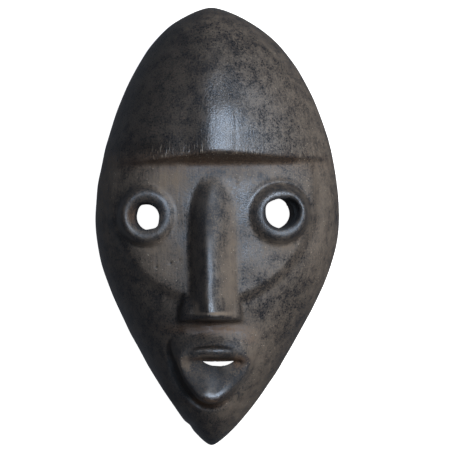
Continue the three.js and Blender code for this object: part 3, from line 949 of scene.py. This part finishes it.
def patinated_hardwood(look):
    """Dense dark hardwood, blackened, oiled and rubbed by hands: a satin sheen with blurred
    reflections on the high places, dull grey-brown dust on the flats, dirt and painted shade in the
    creases."""
    material = bpy.data.materials.new("patinated_hardwood")
    material.use_nodes = True
    tree = material.node_tree
    shader = tree.nodes["Principled BSDF"]
    polished, worn, dust_and_painted_light, earth, pale, soot_and_shade_black, bare = (
        (*getattr(look, name), 1)
        for name in ("polished", "worn", "dust_and_painted_light", "earth", "pale", "soot_and_shade", "bare"))
    where = add_node(tree, "TexCoord", {}, {}, "Object")
    dirt_and_shade, rubbed, dust_and_light, earthy, scratched, inside, unrubbed = (
        add_node(tree, "Attribute", {"attribute_name": name}, {}, "Fac")
        for name in ("crease_dirt_and_shade", "rubbed", "dust_and_painted_light", "earth", "scratched", "inside", "dull"))

    mottle = add_node(tree, "TexNoise", {}, {
        "Vector": where, "Scale": 1 / look.mottle, "Detail": 5, "Roughness": 0.62})
    speckle = add_node(tree, "TexNoise", {}, {
        "Vector": where, "Scale": 1 / look.speckle, "Detail": 3, "Roughness": 0.7})
    along = add_node(tree, "Mapping", {}, {"Vector": where, "Scale": (1, 0.1, 1)})
    grain = add_node(tree, "TexNoise", {}, {
        "Vector": along, "Scale": 1 / look.grain_width, "Detail": 4, "Roughness": 0.6})

    # The thin patina: black where it is thick, browner where it has worn
    mottle_share = add_node(tree, "MapRange", {}, {"Value": mottle, "From Min": 0.38, "From Max": 0.66})
    pores = add_node(tree, "MapRange", OPEN, {"Value": speckle, **NOISE, "To Min": -0.5, "To Max": 0.8})
    thin = add_node(tree, "Math", PLUS | HELD, {0: pores, 1: mottle_share})
    thin = add_node(tree, "Math", TIMES, {0: thin, 1: 0.7})
    patina = add_node(tree, "Mix", COLOURS, {SHARE: thin, FIRST: polished, SECOND: worn}, MIXED)

    # Dust and the patch of painted light under the upper lip, broken up by the mottling, the pores and the
    # grain, and rubbed off the high places
    clouds = add_node(tree, "MapRange", OPEN, {"Value": mottle, **NOISE, "To Min": -0.2, "To Max": 0.14})
    grains = add_node(tree, "MapRange", OPEN, {"Value": speckle, **NOISE, "To Min": -0.24, "To Max": 0.24})
    streaks = add_node(tree, "MapRange", OPEN, {"Value": grain, **NOISE, "To Min": -0.16, "To Max": 0.16})
    spread = dust_and_light
    for part in (clouds, grains, streaks):
        spread = add_node(tree, "Math", PLUS, {0: part, 1: spread})
    kept_clean = add_node(tree, "Math", TIMES, {0: rubbed, 1: 0.5})
    spread = add_node(tree, "Math", LESS | HELD, {0: spread, 1: kept_clean})
    dusted_and_lit = add_node(tree, "Mix", COLOURS, {SHARE: spread, FIRST: patina, SECOND: dust_and_painted_light}, MIXED)

    # Raw wood in the hollow, with its grain
    grain_share = add_node(tree, "MapRange", {}, {"Value": grain, **NOISE, "To Max": 0.6})
    raw = add_node(tree, "Mix", COLOURS, {SHARE: grain_share, FIRST: bare, SECOND: polished}, MIXED)
    wood = add_node(tree, "Mix", COLOURS, {SHARE: inside, FIRST: dusted_and_lit, SECOND: raw}, MIXED)

    # Dirt and painted shade in the creases, nearly black at their bottom, and earthy where the dirt is
    # thick
    dark = add_node(tree, "MapRange", {}, {
        "Value": dirt_and_shade, "From Min": 0.1, "From Max": 0.9, "To Max": 0.85})
    dirty_and_shaded = add_node(tree, "Mix", COLOURS, {SHARE: dark, FIRST: wood, SECOND: soot_and_shade_black}, MIXED)
    packed = add_node(tree, "Math", PLUS, {0: earthy, 1: grains})
    packed = add_node(tree, "Math", TIMES | HELD, {0: packed, 1: 0.9})
    dirty_and_shaded = add_node(tree, "Mix", COLOURS, {SHARE: packed, FIRST: dirty_and_shaded, SECOND: earth}, MIXED)

    # Pale grains, thicker in the dust, and short scratches over the brow, turned to run up
    cells = add_node(tree, "TexVoronoi", {}, {"Vector": where, "Scale": 1 / look.speck_gap}, "Distance")
    dots = add_node(tree, "MapRange", {}, {
        "Value": cells, "From Min": 0.13, "From Max": 0.07, "To Max": 0.7})
    chance = add_node(tree, "Math", PLUS, {0: dust_and_light, 1: mottle})
    chance = add_node(tree, "MapRange", {}, {"Value": chance, "From Min": 0.6, "From Max": 1.0})
    dots = add_node(tree, "Math", TIMES, {0: dots, 1: chance})
    turned = add_node(tree, "Mapping", {}, {
        "Vector": where, "Rotation": (0, 0, math.radians(52)), "Scale": (1, 0.09, 1)})
    hairs = add_node(tree, "TexNoise", {}, {
        "Vector": turned, "Scale": 1 / look.hair_width, "Detail": 1, "Distortion": 0.6})
    hairs = add_node(tree, "MapRange", {}, {
        "Value": hairs, "From Min": 0.62, "From Max": 0.7, "To Max": 0.5})
    hairs = add_node(tree, "Math", TIMES, {0: hairs, 1: scratched})
    marks = add_node(tree, "Math", LARGER, {0: dots, 1: hairs})
    marked = add_node(tree, "Mix", COLOURS, {SHARE: marks, FIRST: dirty_and_shaded, SECOND: pale}, MIXED)
    tree.links.new(marked, shader.inputs["Base Color"])

    # Satin where it is rubbed, dull in the dust and the hollow
    dull = add_node(tree, "Math", LARGER, {0: spread, 1: inside})
    dull = add_node(tree, "Math", LARGER, {0: dull, 1: unrubbed})
    dull = add_node(tree, "Math", TIMES, {0: dull, 1: 0.6})
    uneven = add_node(tree, "MapRange", {}, {"Value": speckle, **NOISE, "To Min": -0.05, "To Max": 0.1})
    rough = add_node(tree, "Math", PLUS, {0: dull, 1: uneven})
    rough = add_node(tree, "Math", PLUS, {0: rough, 1: look.roughness})
    tree.links.new(rough, shader.inputs["Roughness"])

    relief = add_node(tree, "Math", PLUS, {0: speckle, 1: grain})
    relief = add_node(tree, "Math", LESS, {0: relief, 1: hairs})
    bumped = add_node(tree, "Bump", {}, {
        "Strength": 0.45, "Distance": 0.3 * MM, "Height": relief}, "Normal")
    tree.links.new(bumped, shader.inputs["Normal"])
    return material


# Stage

# The camera stands this far right of and above the mask's middle.
CAMERA_OFF = (5.03 * MM, 0.29 * MM)
SENSOR = 36
# The lights: place, width and height in metres, which power they take, the share of it, the
# colour, and whether they give light or gloss. All of them point at the mask.
KEY_PLACE, KEY_SIZE = (0.68, 0.30, 0.80), (0.7, 0.7)
LIGHTS = {
    "key": (KEY_PLACE, KEY_SIZE, "key_power", 1.0, "#fffdf9", "diffuse"),
    "key_sheen": (KEY_PLACE, KEY_SIZE, "key_power", 1.2, "#ddecff", "glossy"),
    "window": ((0.18, 0.36, 1.14), (0.27, 0.60), "window_power", 1.0, "#d4e7ff", "glossy"),
    "sky": ((0.25, 1.10, 0.65), (0.7, 0.8), "window_power", 0.13, "#d4eaff", "diffuse"),
    "fill": ((-0.8, -0.1, 0.9), (0.8, 0.8), "key_power", 0.1, "#fffcf7", "diffuse"),
}


def pale_floor(look):
    """Matt white board that glows evenly, so the mask's shadows don't mark it."""
    bm = bmesh.new()
    bmesh.ops.create_grid(bm, x_segments=1, y_segments=1, size=look.floor_half)
    floor = new_object("floor", bm)
    material = bpy.data.materials.new("pale_floor")
    material.use_nodes = True
    shader = material.node_tree.nodes["Principled BSDF"]
    shader.inputs["Base Color"].default_value = (*linear("#eeeeee"), 1)
    shader.inputs["Roughness"].default_value = 0.9
    shader.inputs["Emission Color"].default_value = (*linear("#ffffff"), 1)
    shader.inputs["Emission Strength"].default_value = 1.0
    floor.data.materials.append(material)
    floor.visible_diffuse = False
    floor.visible_glossy = False
    return floor


def set_camera(scene, look):
    data = bpy.data.cameras.new("camera")
    data.sensor_width = SENSOR
    data.lens = SENSOR * look.camera_height / look.field
    camera = bpy.data.objects.new("camera", data)
    camera.location = (*CAMERA_OFF, look.camera_height)
    scene.collection.objects.link(camera)
    scene.camera = camera


def set_lights(scene, look):
    for name, (place, (width, height), power_name, share, tint, use) in LIGHTS.items():
        data = bpy.data.lights.new(name, "AREA")
        data.shape = "RECTANGLE"
        data.size = width
        data.size_y = height
        data.energy = getattr(look, power_name) * share
        data.color = linear(tint)
        light = bpy.data.objects.new(name, data)
        towards_mask = (-Vector(place)).to_track_quat("-Z", "Y").to_matrix().to_4x4()
        light.matrix_world = Matrix.Translation(place) @ towards_mask
        light.visible_glossy = use == "glossy"
        light.visible_diffuse = use == "diffuse"
        scene.collection.objects.link(light)


def set_world(scene):
    world = bpy.data.worlds.new("world")
    world.use_nodes = True
    background = world.node_tree.nodes["Background"]
    background.inputs["Color"].default_value = (*linear("#e1ecff"), 1)
    background.inputs["Strength"].default_value = 0.11
    scene.world = world
    scene.view_settings.view_transform = "Standard"


# Operators and panel

class MASK_OT_carve(bpy.types.Operator):
    """Carve the mask from its block, hollow it and finish its surface"""
    bl_idname = "mask.carve"
    bl_label = "Carve Mask"

    def execute(self, context):
        form = context.scene.mask_form
        piece = carved_block(form)
        cut(piece, [hollow_tool(form)])
        settle_mesh(piece, form)
        cut(piece, [slit_tool(form), eye_tool(form, LEFT_EYE), eye_tool(form, RIGHT_EYE)])
        finish_surface(piece, form)
        piece.name = "carved_mask"
        if len(piece.data.polygons) < 1000:
            raise RuntimeError("the mask was lost while it was cut")
        piece.data.materials.append(patinated_hardwood(context.scene.mask_wood))
        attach(piece, "root")
        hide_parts("mask")
        return {"FINISHED"}


class MASK_OT_stage(bpy.types.Operator):
    """Lay a pale floor and place the lights and the camera"""
    bl_idname = "mask.stage"
    bl_label = "Set Stage"

    def execute(self, context):
        scene = context.scene
        look = scene.mask_stage
        pale_floor(look)
        set_camera(scene, look)
        set_lights(scene, look)
        set_world(scene)
        return {"FINISHED"}


class MASK_PT_panel(bpy.types.Panel):
    """Lists the two steps and the sizes and looks that they use"""
    bl_idname = "MASK_PT_panel"
    bl_label = "Carved Mask"
    bl_space_type = "VIEW_3D"
    bl_region_type = "UI"
    bl_category = "Mask"

    def draw(self, context):
        for step in (MASK_OT_carve, MASK_OT_stage):
            self.layout.operator(step.bl_idname)
        for name, group in SETTINGS.items():
            box = self.layout.box()
            for size in group.__annotations__:
                box.prop(getattr(context.scene, name), size)


CLASSES = (*SETTINGS.values(), MASK_OT_carve, MASK_OT_stage, MASK_PT_panel)


def register():
    for cls in CLASSES:
        bpy.utils.register_class(cls)
    for name, group in SETTINGS.items():
        setattr(bpy.types.Scene, name, PointerProperty(type=group))


def unregister():
    for name in reversed(SETTINGS):
        delattr(bpy.types.Scene, name)
    for cls in reversed(CLASSES):
        bpy.utils.unregister_class(cls)


def main():
    register()
    bpy.ops.mask.stage()
    bpy.ops.mask.carve()


if __name__ == "__main__":
    main()
